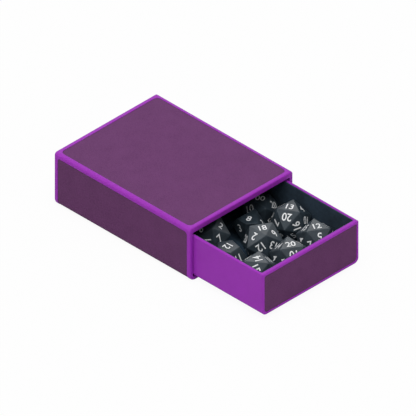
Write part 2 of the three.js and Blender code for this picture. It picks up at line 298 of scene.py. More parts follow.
def outline_of(grid):
    """The grid's boundary, once around."""
    right = [row[-1] for row in grid[1:-1]]
    left = [row[0] for row in reversed(grid[1:-1])]
    return grid[0] + right + grid[-1][::-1] + left


def inlay(place, outline, profile, rows=1, columns=1):
    """A closed sheet on a surface. profile lists (inset, level) from its face, over its edge, to its back."""
    bm = bmesh.new()
    previous = None
    for index, (inset, level) in enumerate(profile):
        grid = inlay_grid(*outline, inset, rows, columns)
        if index in (0, len(profile) - 1):
            grid = [[bm.verts.new(place(*point, level)) for point in row] for row in grid]
            for lower, upper in zip(grid, grid[1:]):
                for column in range(columns):
                    bm.faces.new((lower[column], lower[column + 1], upper[column + 1], upper[column]))
            ring = outline_of(grid)
        else:
            ring = [bm.verts.new(place(*point, level)) for point in outline_of(grid)]
        if previous:
            bridge(bm, previous, ring)
        previous = ring
    bmesh.ops.recalc_face_normals(bm, faces=bm.faces)
    return bm


def panel_profile(face, back, edge, gap, steps=4):
    """A panel's profile: its rounded edge starts a gap inside the outline."""
    rounded = [(gap + edge * (1 - math.sin(a)), face - edge * (1 - math.cos(a))) for a in quarter(steps)]
    return rounded + [(gap, back)]


def recess_profile(depth, lip, overrun=1.0 * MM, steps=5):
    """A recess cutter's profile: it flares at the surface, so that the cut leaves a rounded lip."""
    flare = [(-lip * (1 - math.sin(a)), -lip * (1 - math.cos(a))) for a in quarter(steps)[1:]]
    return [(flare[0][0], overrun)] + flare + [(0.0, -depth)]


def board_pocket(node, spare=0.05 * MM):
    """A box cutter for the pocket that a board node lies in, with a little room to spare."""
    room = Vector((spare, spare, spare))
    lower, upper = low(node) - room, high(node) + room
    bm = bmesh.new()
    bmesh.ops.create_cube(bm, size=1.0)
    bm.transform(Matrix.Translation((lower + upper) / 2) @ Matrix.Diagonal((*(upper - lower), 1.0)))
    return bm


def mesh_object(name, bm):
    """A linked object that holds the bmesh."""
    mesh = bpy.data.meshes.new(name)
    bm.to_mesh(mesh)
    bm.free()
    piece = bpy.data.objects.new(name, mesh)
    bpy.context.scene.collection.objects.link(piece)
    return piece


def settle(piece):
    """Puts a piece's modifiers into its mesh."""
    bpy.context.view_layer.update()
    evaluated = piece.evaluated_get(bpy.context.evaluated_depsgraph_get())
    mesh = bpy.data.meshes.new_from_object(evaluated)
    mesh.name = piece.name
    piece.modifiers.clear()
    piece.data = mesh


def carve(piece, cutters):
    """Cuts each cutter out of a piece."""
    tools = [mesh_object(f"cutter_{index}", bm) for index, bm in enumerate(cutters)]
    for tool in tools:
        modifier = piece.modifiers.new("carve", "BOOLEAN")
        modifier.operation = "DIFFERENCE"
        modifier.solver = "EXACT"
        modifier.object = tool
    settle(piece)
    for tool in tools:
        bpy.data.objects.remove(tool, do_unlink=True)
    if not piece.data.polygons:
        raise RuntimeError(f"carving left nothing of {piece.name}")


def smooth(piece, angle=SMOOTH_ANGLE):
    """Smooth shading, with sharp edges kept and flat faces flat."""
    mesh = piece.data
    mesh.polygons.foreach_set("use_smooth", [True] * len(mesh.polygons))
    mesh.set_sharp_from_angle(angle=angle)
    weighted = piece.modifiers.new("flat faces", "WEIGHTED_NORMAL")
    weighted.keep_sharp = True
    weighted.weight = FLAT_FACE_WEIGHT
    settle(piece)


def finish_piece(piece, body, materials, replaced):
    """Gives a piece its materials and its body, and hides the nodes that it stands for."""
    for material in materials:
        piece.data.materials.append(material)
    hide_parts(*replaced)
    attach(piece, body)


# Materials

# Spans of a pattern's values that are stretched to the range wanted
NOISE_SPAN = (0.3, 0.7)
GRAIN_SPAN = (0.25, 0.75)
FULL_SPAN = (0.0, 1.0)


def feed(tree, socket, value):
    """Links a socket to an output, or sets it to a plain value."""
    if isinstance(value, bpy.types.NodeSocket):
        tree.links.new(value, socket)
    else:
        socket.default_value = value


def math_node(tree, operation, *values):
    """The output of a math node that works on outputs or plain numbers."""
    node = tree.nodes.new("ShaderNodeMath")
    node.operation = operation
    for socket, value in zip(node.inputs, values):
        feed(tree, socket, value)
    return node.outputs["Value"]


class Finish:
    """A node material with one Principled shader, and short calls that add nodes to it."""

    def __init__(self, name, colour, roughness, specular):
        self.material = bpy.data.materials.new(name)
        self.material.use_nodes = True
        self.tree = self.material.node_tree
        self.nodes = self.tree.nodes
        self.links = self.tree.links
        self.shader = self.nodes["Principled BSDF"]
        self.shader.inputs["Base Color"].default_value = (*colour, 1.0)
        self.shader.inputs["Roughness"].default_value = roughness
        self.shader.inputs["Specular IOR Level"].default_value = specular
        self.place = self.add("ShaderNodeTexCoord").outputs["Object"]

    def add(self, kind, **inputs):
        """A node whose inputs are given by name, with an underscore for a space."""
        node = self.nodes.new(kind)
        for name, value in inputs.items():
            feed(self.tree, node.inputs[name.replace("_", " ")], value)
        return node

    def noise(self, size, detail=3.0, roughness=0.55):
        """Noise whose largest features are about as wide as size."""
        node = self.add("ShaderNodeTexNoise", Vector=self.place, Scale=1.0 / size, Detail=detail,
                        Roughness=roughness)
        return node.outputs["Fac"]

    def pebbles(self, size, smoothness=0.55):
        """Distance to the nearest pebble centre, smoothed."""
        node = self.nodes.new("ShaderNodeTexVoronoi")
        node.feature = "SMOOTH_F1"
        self.links.new(self.place, node.inputs["Vector"])
        node.inputs["Scale"].default_value = 1.0 / size
        node.inputs["Smoothness"].default_value = smoothness
        return node.outputs["Distance"]

    def ranged(self, value, span, start, stop):
        """Value stretched from a span to the range from start to stop."""
        node = self.add("ShaderNodeMapRange", Value=value, From_Min=span[0], From_Max=span[1],
                        To_Min=start, To_Max=stop)
        return node.outputs["Result"]

    def vary_colour(self, colour, value, darker, lighter):
        """Colour between a darker and a lighter share of itself, driven by value."""
        mix = self.nodes.new("ShaderNodeMix")
        mix.data_type = "RGBA"
        self.links.new(value, mix.inputs["Factor"])
        mix.inputs["A"].default_value = (*[channel * darker for channel in colour], 1.0)
        mix.inputs["B"].default_value = (*[min(channel * lighter, 1.0) for channel in colour], 1.0)
        return mix.outputs["Result"]

    def bump(self, height, distance, strength=1.0, after=None):
        """A normal raised by height, on top of an earlier bump where one is given."""
        node = self.add("ShaderNodeBump", Height=height, Distance=distance, Strength=strength)
        if after:
            self.links.new(after, node.inputs["Normal"])
        return node.outputs["Normal"]

    def wire(self, name, value):
        """Links an output to the shader."""
        self.links.new(value, self.shader.inputs[name])

    def mottle(self, colour, noise, darker, lighter):
        """Varies the base colour with a noise, between two shares of itself."""
        shade = self.ranged(noise, NOISE_SPAN, 0.0, 1.0)
        self.wire("Base Color", self.vary_colour(colour, shade, darker, lighter))

    def scuff(self, noise, smoothest, roughest):
        """Varies the roughness with a noise."""
        self.wire("Roughness", self.ranged(noise, NOISE_SPAN, smoothest, roughest))


def smooth_leatherette():
    """Coated purple skin: fine pores, faint cloudiness and a soft satin."""
    cloud_size = 14 * MM
    pore_size = 0.28 * MM
    pore_depth = 0.012 * MM
    wave_size = 3.2 * MM
    wave_depth = 0.02 * MM
    satin_size = 1.1 * MM
    colour = tuple(finish().purple)
    skin = Finish("purple_leatherette", colour, roughness=0.5, specular=0.12)
    skin.mottle(colour, skin.noise(cloud_size, detail=4.0), darker=0.955, lighter=1.045)
    pores = skin.bump(skin.noise(pore_size, detail=2.0), pore_depth)
    waves = skin.noise(wave_size, detail=2.0)
    skin.wire("Normal", skin.bump(waves, wave_depth, after=pores))
    skin.scuff(skin.noise(satin_size), smoothest=0.42, roughest=0.56)
    return skin.material


def grained_leatherette(name, colour):
    """Leatherette with a fine pebble grain, and painted shade that darkens its creases."""
    grain = finish().grain_size
    crease_depth = 0.035 * MM
    crease_shade_share = 0.45
    cloud_size = 9 * MM
    cloud_share = 0.55
    pore_size = grain / 4
    pore_depth = 0.010 * MM
    crease_roughness = 0.74
    top_roughness = 0.56
    skin = Finish(name, colour, roughness=0.62, specular=0.03)
    tops = skin.ranged(skin.pebbles(grain), GRAIN_SPAN, 1.0, 0.0)
    clouds = skin.ranged(skin.noise(cloud_size, detail=4.0), GRAIN_SPAN, 0.0, cloud_share)
    # The colour darkens in the grain's creases as painted shade, and varies at random with the clouds
    shade = math_node(skin.tree, "MULTIPLY_ADD", tops, crease_shade_share, clouds)
    skin.wire("Base Color", skin.vary_colour(colour, shade, darker=0.88, lighter=1.10))
    lumps = skin.bump(tops, crease_depth)
    skin.wire("Normal", skin.bump(skin.noise(pore_size, detail=2.0), pore_depth, after=lumps))
    skin.wire("Roughness", skin.ranged(tops, FULL_SPAN, crease_roughness, top_roughness))
    return skin.material


def microfibre():
    """Dark slate lining with a short nap that lies in faint streaks."""
    streak_size = 6 * MM
    streak_depth = 0.12 * MM
    fibre_size = 0.22 * MM
    fibre_depth = 0.05 * MM
    colour = tuple(finish().slate)
    nap = Finish("slate_microfibre", colour, roughness=0.95, specular=0.05)
    nap.shader.inputs["Sheen Weight"].default_value = 0.06
    nap.shader.inputs["Sheen Roughness"].default_value = 0.5
    streaks = nap.noise(streak_size, detail=5.0, roughness=0.65)
    nap.mottle(colour, streaks, darker=0.72, lighter=1.30)
    fibres = nap.bump(nap.noise(fibre_size, detail=3.0), fibre_depth)
    nap.wire("Normal", nap.bump(streaks, streak_depth, after=fibres))
    return nap.material


def dice_plastic():
    """Charcoal resin with a faint marbling and fine tumbling marks."""
    marbling_size = 5 * MM
    mark_size = 0.35 * MM
    mark_depth = 0.006 * MM
    colour = tuple(finish().charcoal)
    resin = Finish("charcoal_dice_plastic", colour, roughness=0.34, specular=0.37)
    marbling = resin.noise(marbling_size, detail=6.0, roughness=0.6)
    resin.mottle(colour, marbling, darker=0.7, lighter=1.35)
    marks = resin.noise(mark_size, detail=4.0)
    resin.scuff(marks, smoothest=0.26, roughest=0.44)
    resin.wire("Normal", resin.bump(marks, mark_depth))
    return resin.material


def numeral_paint():
    """White paint that fills the numerals, a little uneven."""
    streak_size = 0.9 * MM
    colour = tuple(finish().paint)
    paint = Finish("white_numeral_paint", colour, roughness=0.55, specular=0.3)
    paint.mottle(colour, paint.noise(streak_size, detail=3.0), darker=0.9, lighter=1.04)
    return paint.material


def raw_board():
    """Grey board with flecks and short fibres."""
    fleck_size = 0.8 * MM
    fleck_depth = 0.04 * MM
    colour = tuple(finish().greyboard)
    board = Finish("greyboard", colour, roughness=0.92, specular=0.2)
    flecks = board.noise(fleck_size, detail=6.0, roughness=0.7)
    board.mottle(colour, flecks, darker=0.72, lighter=1.22)
    board.wire("Normal", board.bump(flecks, fleck_depth))
    return board.material


def finish_named(name, maker):
    """The material of that name, made on its first use."""
    return bpy.data.materials.get(name) or maker()


def purple_leatherette():
    return finish_named("purple_leatherette", smooth_leatherette)


def grained_named(name, colour):
    """The grained leatherette of that name, made on its first use."""
    return finish_named(name, lambda: grained_leatherette(name, tuple(colour)))


def plum_leatherette():
    return grained_named("plum_leatherette", finish().plum)


# Painted shade: the plum leatherette again, darkened as if in shade, for the panels that do not face up
def dark_plum_leatherette():
    return grained_named("dark_plum_leatherette", finish().dark_plum)


def slate_microfibre():
    return finish_named("slate_microfibre", microfibre)


# Sizes shared by the sleeve and the drawer

FLAT_CELLS = 8
WRAP_COLUMNS = 4
LINING_CELLS = 6
SQUARE = 0.05 * MM


# Sleeve

SLEEVE_TOP_CORNER = 2.6 * MM
SLEEVE_SIDE_CORNER = 1.8 * MM
BORE_LOWER_CORNER = 1.6 * MM
BORE_UPPER_CORNER = 0.8 * MM
LINING_END_GAP = 0.1 * MM
LINING_BACK_GAP = 0.02 * MM
LINING_TURN = 0.1 * MM
SIDE_PANEL_ROWS = 72
WRAP_CUT_ROWS = 180


def sleeve_wrap(along, across, level):
    """A point on the sleeve's skin: along runs from the base's middle line, round the lower edge and up."""
    lower, upper = low("sleeve_cover"), high("sleeve_cover")
    radius = shape().sleeve_bottom_round
    flat = upper.x - radius
    bend = radius * math.pi / 2
    travelled = abs(along)
    if travelled <= flat:
        x, z = travelled, lower.z - level
    elif travelled <= flat + bend:
        angle = (travelled - flat) / radius
        x = flat + (radius + level) * math.sin(angle)
        z = lower.z + radius - (radius + level) * math.cos(angle)
    else:
        x, z = upper.x + level, lower.z + radius + travelled - flat - bend
    return Vector((math.copysign(x, along), across, z))


def wrap_length(height):
    """How far along the sleeve's skin a height on its side lies."""
    upper = high("sleeve_cover")
    radius = shape().sleeve_bottom_round
    return upper.x - radius + radius * math.pi / 2 + height - radius - low("sleeve_cover").z


def sleeve_ring(inset, y):
    return cover_ring("sleeve_cover", inset, y, shape().sleeve_bottom_round, shape().sleeve_top_round)


def bore_ring(outset, y):
    half = low("sleeve_right_lining").x + outset
    bottom = high("sleeve_bottom_lining").z - outset
    top = low("sleeve_top_lining").z + outset
    return section_ring(y, half, bottom, top, BORE_LOWER_CORNER + outset, BORE_UPPER_CORNER + outset)


def panel_outline(node, gap, start_radius, stop_radius, along="y", across="x"):
    """The recess outline around a panel node, as inlay_grid takes it."""
    lower, upper = low(node), high(node)
    half = getattr(upper, across) + gap
    return half, getattr(lower, along) - gap, getattr(upper, along) + gap, start_radius, stop_radius


def sleeve_top_place(along, across, level):
    return Vector((across, along, high("sleeve_cover").z + level))


def side_outline(first, last, gap):
    """Outline along the wrap between two lengths, as wide as the side panels."""
    return high("sleeve_left_panel").y + gap, first, last


class CHEST_OT_sleeve_cover(bpy.types.Operator):
    """Purple cover of the sleeve: rounded skin, rims that turn into the bore, and recesses for the panels"""

    bl_idname = "chest.sleeve_cover"
    bl_label = "Sleeve cover"

    def execute(self, context):
        front, back = low("sleeve_cover").y, high("sleeve_cover").y
        rim = high("sleeve_cover").y - high("sleeve_left_lining").y - LINING_END_GAP
        step = high("sleeve_right_lining").x - low("sleeve_right_lining").x + LINING_BACK_GAP
        outer = cover_stations("sleeve_cover", shape().sleeve_end_round)
        mouth = end_fillet(shape().sleeve_mouth_round, steps=4)
        bore = [(outset, back - depth) for outset, depth in mouth]
        bore += [(0.0, back - rim), (step, back - rim), (step, front + rim), (0.0, front + rim)]
        bore += [(outset, front + depth) for outset, depth in reversed(mouth)]
        rings = [sleeve_ring(*station) for station in outer] + [bore_ring(*station) for station in bore]
        cover = mesh_object("sleeve_cover_skin", loft(rings, loop=True))

        depth, lip, gap = shape().recess_depth, shape().recess_lip, shape().panel_gap
        top = panel_outline("sleeve_top_panel", gap, SLEEVE_TOP_CORNER, SLEEVE_TOP_CORNER)
        reach = wrap_length(high("sleeve_left_panel").z + gap)
        sides = (*side_outline(-reach, reach, gap), SLEEVE_SIDE_CORNER, SLEEVE_SIDE_CORNER)
        cutters = [
            inlay(sleeve_top_place, top, recess_profile(depth, lip)),
            inlay(sleeve_wrap, sides, recess_profile(depth, lip), rows=WRAP_CUT_ROWS),
        ]
        cutters += [board_pocket(f"sleeve_{side}_board") for side in ("left", "right", "top", "bottom")]
        carve(cover, cutters)
        smooth(cover)
        finish_piece(cover, "sleeve", [purple_leatherette()], ["sleeve_cover"])
        return {"FINISHED"}


class CHEST_OT_sleeve_panels(bpy.types.Operator):
    """Plum panels of the sleeve: the top, both sides that turn in under the base, and the base sheet"""

    bl_idname = "chest.sleeve_panels"
    bl_label = "Sleeve panels"

    def execute(self, context):
        gap, edge = shape().panel_gap, shape().panel_edge
        inset = high("sleeve_cover").z - high("sleeve_top_panel").z
        back = inset + high("sleeve_top_panel").z - low("sleeve_top_panel").z
        profile = panel_profile(-inset, -back, edge, gap)
        top = panel_outline("sleeve_top_panel", gap, SLEEVE_TOP_CORNER, SLEEVE_TOP_CORNER)
        panel = mesh_object(
            "sleeve_top_leatherette",
            inlay(sleeve_top_place, top, profile, rows=FLAT_CELLS, columns=FLAT_CELLS))
        smooth(panel)
        finish_piece(panel, "sleeve", [plum_leatherette()], ["sleeve_top_panel"])

        turn_in = low("sleeve_right_panel").x - gap
        reach = wrap_length(high("sleeve_left_panel").z + gap)
        for side, first, last, corners in (
                ("left", -reach, -turn_in, (SLEEVE_SIDE_CORNER, SQUARE)),
                ("right", turn_in, reach, (SQUARE, SLEEVE_SIDE_CORNER))):
            outline = (*side_outline(first, last, gap), *corners)
            panel = mesh_object(
                f"sleeve_{side}_leatherette",
                inlay(sleeve_wrap, outline, profile, rows=SIDE_PANEL_ROWS, columns=WRAP_COLUMNS))
            smooth(panel)
            # The side panels get the plum darkened by painted shade
            finish_piece(panel, "sleeve", [dark_plum_leatherette()], [f"sleeve_{side}_panel"])

        sheet = (*side_outline(-turn_in, turn_in, gap), SQUARE, SQUARE)
        flush = panel_profile(0.0, -back, edge, gap)
        base = mesh_object(
            "sleeve_base_leatherette",
            inlay(sleeve_wrap, sheet, flush, rows=FLAT_CELLS, columns=WRAP_COLUMNS))
        smooth(base)
        finish_piece(base, "sleeve", [plum_leatherette()], ["sleeve_base_sheet"])
        return {"FINISHED"}


class CHEST_OT_sleeve_lining(bpy.types.Operator):
    """Lining of the sleeve: one thin tube of microfibre that follows the bore between the two rims"""

    bl_idname = "chest.sleeve_lining"
    bl_label = "Sleeve lining"

    def execute(self, context):
        front, back = low("sleeve_left_lining").y, high("sleeve_left_lining").y
        thickness = high("sleeve_right_lining").x - low("sleeve_right_lining").x
        stations = [
            (LINING_TURN, front), (0.0, front + LINING_TURN), (0.0, back - LINING_TURN), (LINING_TURN, back),
            (thickness, back), (thickness, front),
        ]
        rings = [bore_ring(*station) for station in stations]
        lining = mesh_object("sleeve_bore_lining", loft(rings, loop=True))
        smooth(lining)
        replaced = [f"sleeve_{side}_lining" for side in ("left", "right", "top", "bottom")]
        finish_piece(lining, "sleeve", [slate_microfibre()], replaced)
        return {"FINISHED"}


# Drawer

DRAWER_PANEL_LOWER_CORNER = 2.25 * MM
DRAWER_PANEL_UPPER_CORNER = 0.8 * MM
WELL_CORNER = 0.6 * MM
WELL_LIP_SHARE = 0.75
LINING_CORNER = 0.3 * MM
LINING_EDGE = 0.15 * MM


def drawer_ring(inset, y):
    return cover_ring("drawer_cover", inset, y, shape().drawer_bottom_round, shape().drawer_rim_round)


def drawer_rim_place(along, across, level):
    return Vector((across, along, high("drawer_cover").z + level))


def drawer_end_place(end):
    """Places points on the drawer's front (-1) or back (1): along runs up, across runs sideways."""
    face = low("drawer_cover").y if end < 0 else high("drawer_cover").y

    def place(along, across, level):
        return Vector((across, face + end * level, along))
    return place


def end_panel_outline(end_name, gap):
    return panel_outline(
        f"drawer_{end_name}_panel", gap, DRAWER_PANEL_LOWER_CORNER, DRAWER_PANEL_UPPER_CORNER, along="z")


class CHEST_OT_drawer_cover(bpy.types.Operator):
    """Purple cover of the drawer: rounded skin, rolled rim, and recesses for the boards and the panels"""

    bl_idname = "chest.drawer_cover"
    bl_label = "Drawer cover"

    def execute(self, context):
        stations = cover_stations("drawer_cover", shape().drawer_end_round)
        cover = mesh_object("drawer_cover_skin", loft([drawer_ring(*station) for station in stations]))

        inner = (low("drawer_right_board").x, high("drawer_front_board").y, low("drawer_back_board").y)
        well_depth = high("drawer_cover").z - low("drawer_floor_lining").z
        well = recess_profile(well_depth, shape().drawer_rim_round * WELL_LIP_SHARE)
        cutters = [inlay(drawer_rim_place, (*inner, WELL_CORNER, WELL_CORNER), well)]
        walls = ("left", "right", "front", "back", "floor")
        cutters += [board_pocket(f"drawer_{wall}_board") for wall in walls]
        recess = recess_profile(shape().recess_depth, shape().recess_lip)
        for end, name in ((-1, "front"), (1, "back")):
            outline = end_panel_outline(name, shape().panel_gap)
            cutters.append(inlay(drawer_end_place(end), outline, recess))
        carve(cover, cutters)
        smooth(cover)
        finish_piece(cover, "drawer", [purple_leatherette()], ["drawer_cover"])
        return {"FINISHED"}


class CHEST_OT_drawer_panels(bpy.types.Operator):
    """Plum panels inlaid in the drawer's front and back"""

    bl_idname = "chest.drawer_panels"
    bl_label = "Drawer panels"

    def execute(self, context):
        gap, edge = shape().panel_gap, shape().panel_edge
        inset = low("drawer_front_panel").y - low("drawer_cover").y
        back = high("drawer_front_panel").y - low("drawer_cover").y
        profile = panel_profile(-inset, -back, edge, gap)
        for end, name in ((-1, "front"), (1, "back")):
            outline = end_panel_outline(name, gap)
            panel = mesh_object(
                f"drawer_{name}_leatherette",
                inlay(drawer_end_place(end), outline, profile, rows=FLAT_CELLS, columns=FLAT_CELLS))
            smooth(panel)
            # The front and back panels get the plum darkened by painted shade
            finish_piece(panel, "drawer", [dark_plum_leatherette()], [f"drawer_{name}_panel"])
        return {"FINISHED"}


class CHEST_OT_drawer_linings(bpy.types.Operator):
    """Slate linings of the drawer's floor and four walls"""

    bl_idname = "chest.drawer_linings"
    bl_label = "Drawer linings"

    def execute(self, context):
        self.sheet("floor", "z", 1, "y", "x")
        for side, sign in (("left", 1), ("right", -1)):
            self.sheet(side, "x", sign, "z", "y")
        for side, sign in (("front", 1), ("back", -1)):
            self.sheet(side, "y", sign, "z", "x")
        return {"FINISHED"}

    def sheet(self, side, normal, sign, along, across):
        """One lining sheet, with a soft edge on the face that shows, which looks along sign times normal."""
        node = f"drawer_{side}_lining"
        lower, upper = low(node), high(node)
        middle = (lower + upper) / 2
        face = getattr(upper if sign > 0 else lower, normal)

        def place(run, aside, level):
            point = middle.copy()
            setattr(point, along, run)
            setattr(point, across, getattr(middle, across) + aside)
            setattr(point, normal, face + sign * level)
            return point

        half = (getattr(upper, across) - getattr(lower, across)) / 2
        thickness = getattr(upper, normal) - getattr(lower, normal)
        outline = (half, getattr(lower, along), getattr(upper, along), LINING_CORNER, LINING_CORNER)
        profile = panel_profile(0.0, -thickness, LINING_EDGE, 0.0)
        sheet = mesh_object(
            f"drawer_{side}_nap", inlay(place, outline, profile, rows=LINING_CELLS, columns=LINING_CELLS))
        smooth(sheet)
        finish_piece(sheet, "drawer", [slate_microfibre()], [node])


# Dice

# For each die, the faces that have a known number: the faces count from the top one down, and
# anticlockwise round each height. The letters name the corner that the number's top points to, or the two
# corners that it points between, nearer to one that is named twice. Corners count from the highest, and
# anticlockwise where they are level.
DICE = {
    "d20_die_1": {0: (14, "b"), 1: (8, "a"), 2: (15, "b"), 3: (11, "a")},
    "d20_die_2": {0: (20, "a"), 1: (14, "a"), 2: (10, "c"), 3: (8, "a")},
    "d20_die_3": {0: (12, "a"), 1: (15, "a"), 2: (5, "c")},
    "d20_die_4": {0: (18, "ab"), 2: (2, "c"), 3: (6, "c"), 6: (20, "a"), 7: (12, "c"), 8: (13, "c")},
    "d20_die_5": {0: (13, "a"), 2: (20, "c"), 3: (4, "a"), 7: (7, "b"), 8: (16, "b"), 9: (10, "c")},
    "d20_die_6": {2: (6, "a"), 3: (2, "aac"), 7: (1, "b"), 8: (7, "a")},
    "d12_die": {0: (12, "de"), 4: (11, "ab")},
    "d10_die": {0: (8, "a")},
    "d10_tens_die": {0: (0, "abb")},
}
CORNER_LETTERS = "abcde"

# Height of the font's figures as a share of its size, then shares of its own spacing and width
CAP_HEIGHT_SHARE = 0.729
LETTER_SPACE_SHARE = 0.96
NUMERAL_WIDTH_SHARE = 0.93
NUMERAL_EXTRUDE = 0.05 * MM
NUMERAL_SINK = 0.02 * MM
NUMERAL_RESOLUTION = 3

DIE_WELD = 0.01 * MM
DIE_FLAT_ANGLE = math.radians(3.0)
DIE_SMOOTH_ANGLE = math.radians(50.0)
DIE_EDGE_SEGMENTS = 3


def whole_faces(node):
    """The node's solid with its flat faces whole."""
    bm = bmesh.new()
    bm.from_mesh(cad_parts[node].data)
    bmesh.ops.remove_doubles(bm, verts=bm.verts, dist=DIE_WELD)
    bmesh.ops.dissolve_limit(bm, angle_limit=DIE_FLAT_ANGLE, verts=bm.verts, edges=bm.edges)
    bmesh.ops.recalc_face_normals(bm, faces=bm.faces)
    expected = int(node.removeprefix("d").split("_")[0])
    if len(bm.faces) != expected:
        raise RuntimeError(f"{node} has {len(bm.faces)} faces, not {expected}")
    return bm


def face_frames(bm):
    """(centre, outward normal, corners) of each face, from the top down."""
    centre = sum((vert.co for vert in bm.verts), Vector()) / len(bm.verts)

    def order(point):
        turn = math.degrees(math.atan2(point.y - centre.y, point.x - centre.x)) % 360
        return -round((point.z - centre.z) / MM, 1), round(turn, 1) % 360

    frames = []
    for face in bm.faces:
        corners = sorted((vert.co.copy() for vert in face.verts), key=order)
        frames.append((face.calc_center_median(), face.normal.copy(), corners))
    frames.sort(key=lambda item: order(item[0]))
    return frames


def opposite(frames, index):
    """The face across the die."""
    normal = frames[index][1]
    return min(range(len(frames)), key=lambda other: frames[other][1].dot(normal))


def face_labels(node, known, frames):
    """(text, corners) for each face: known numbers, their opposites, and the rest in order."""
    count = len(frames)
    lowest = 0 if count == 10 else 1
    total = 2 * lowest + count - 1
    numbers = {}
    for face, (number, _) in known.items():
        numbers[face] = number
        numbers[opposite(frames, face)] = total - number
    spare = [number for number in range(lowest, lowest + count) if number not in numbers.values()]
    for face in range(count):
        if face not in numbers:
            numbers[face] = spare.pop(0)
            numbers[opposite(frames, face)] = total - numbers[face]
            spare.remove(total - numbers[face])
    letters = {face: letter for face, (_, letter) in known.items()}
    step = 10 if "tens" in node else 1
    return [
        (f"{numbers[face] * step:02d}" if step == 10 else str(numbers[face]), letters.get(face, "a"))
        for face in range(count)
    ]


def numeral_mesh(text, height, stroke):
    """A thin solid numeral, centred, lying in X and Y."""
    curve = bpy.data.curves.new("numeral", "FONT")
    curve.body = text
    curve.align_x = "CENTER"
    curve.size = height / CAP_HEIGHT_SHARE
    curve.offset = stroke
    curve.extrude = NUMERAL_EXTRUDE
    curve.resolution_u = NUMERAL_RESOLUTION
    curve.space_character = LETTER_SPACE_SHARE
    writer = bpy.data.objects.new("numeral", curve)
    bpy.context.scene.collection.objects.link(writer)
    bpy.context.view_layer.update()
    mesh = bpy.data.meshes.new_from_object(writer.evaluated_get(bpy.context.evaluated_depsgraph_get()))
    bpy.data.objects.remove(writer, do_unlink=True)
    xs = [vert.co.x for vert in mesh.vertices]
    ys = [vert.co.y for vert in mesh.vertices]
    mesh.transform(Matrix.Translation((-(min(xs) + max(xs)) / 2, -(min(ys) + max(ys)) / 2, 0)))
    mesh.transform(Matrix.Diagonal((NUMERAL_WIDTH_SHARE, 1.0, 1.0, 1.0)))
    mesh.polygons.foreach_set("material_index", [1] * len(mesh.polygons))
    return mesh


class CHEST_OT_dice(bpy.types.Operator):
    """The dice: solids with softened edges and white numerals on every face"""

    bl_idname = "chest.dice"
    bl_label = "Dice"

    def execute(self, context):
        resin = finish_named("charcoal_dice_plastic", dice_plastic)
        paint = finish_named("white_numeral_paint", numeral_paint)
        for node, known in DICE.items():
            bm = whole_faces(node)
            frames = face_frames(bm)
            labels = face_labels(node, known, frames)
            bmesh.ops.bevel(
                bm, geom=bm.edges[:] + bm.verts[:], offset=shape().die_edge, segments=DIE_EDGE_SEGMENTS,
                profile=0.5, affect="EDGES", clamp_overlap=True)
            for (middle, normal, corners), (text, letters) in zip(frames, labels):
                towards = [corners[CORNER_LETTERS.index(letter)] - middle for letter in letters]
                self.write(bm, text, middle, normal, sum(towards, Vector()))
            die = mesh_object(f"{node}_body", bm)
            smooth(die, angle=DIE_SMOOTH_ANGLE)
            finish_piece(die, "drawer", [resin, paint], [node])
        return {"FINISHED"}

    def write(self, bm, text, middle, normal, towards):
        """Adds one numeral to a face, with its top towards a corner."""
        up = (towards - normal * towards.dot(normal)).normalized()
        right = up.cross(normal)
        place = Matrix((right, up, normal)).transposed().to_4x4()
        place.translation = middle - normal * NUMERAL_SINK
        mesh = numeral_mesh(text, shape().numeral_height, shape().numeral_stroke)
        mesh.transform(place)
        bm.from_mesh(mesh)
        bpy.data.meshes.remove(mesh)


# Boards, which are the frame's own solids

class CHEST_OT_boards(bpy.types.Operator):
    """Raw greyboard finish for the boards inside the sleeve's and the drawer's walls"""

    bl_idname = "chest.boards"
    bl_label = "Boards"

    def execute(self, context):
        board = finish_named("greyboard", raw_board)
        for name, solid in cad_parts.items():
            if name.endswith("_board"):
                solid.data.materials.clear()
                solid.data.materials.append(board)
        return {"FINISHED"}


# Stage

CAMERA_DISTANCE = 0.6
CAMERA_CLIP = (0.01, 10.0)
FLOOR_REACH = 3.0
FLOOR_DROP = 0.02 * MM
FLOOR_GLOW_SHARE = 0.94
FLOOR_MIRROR_SHARE = 0.1
KEY_DIRECTION = (-0.25, -0.19, 1.0)
KEY_SPREAD = math.radians(50.0)
SOFTBOX_DIRECTION = (-0.14, 0.72, 0.68)
SOFTBOX_DISTANCE = 0.6
SOFTBOX_SIZE = (2.0, 0.45)
WHITE = (1, 1, 1, 1)


def lamp(scene, name, kind, towards):
    """A linked light that shines on the origin from a direction."""
    piece = bpy.data.objects.new(name, bpy.data.lights.new(name, kind))
    scene.collection.objects.link(piece)
    piece.rotation_mode = "QUATERNION"
    piece.rotation_quaternion = Vector(towards).to_track_quat("Z", "Y")
    return piece


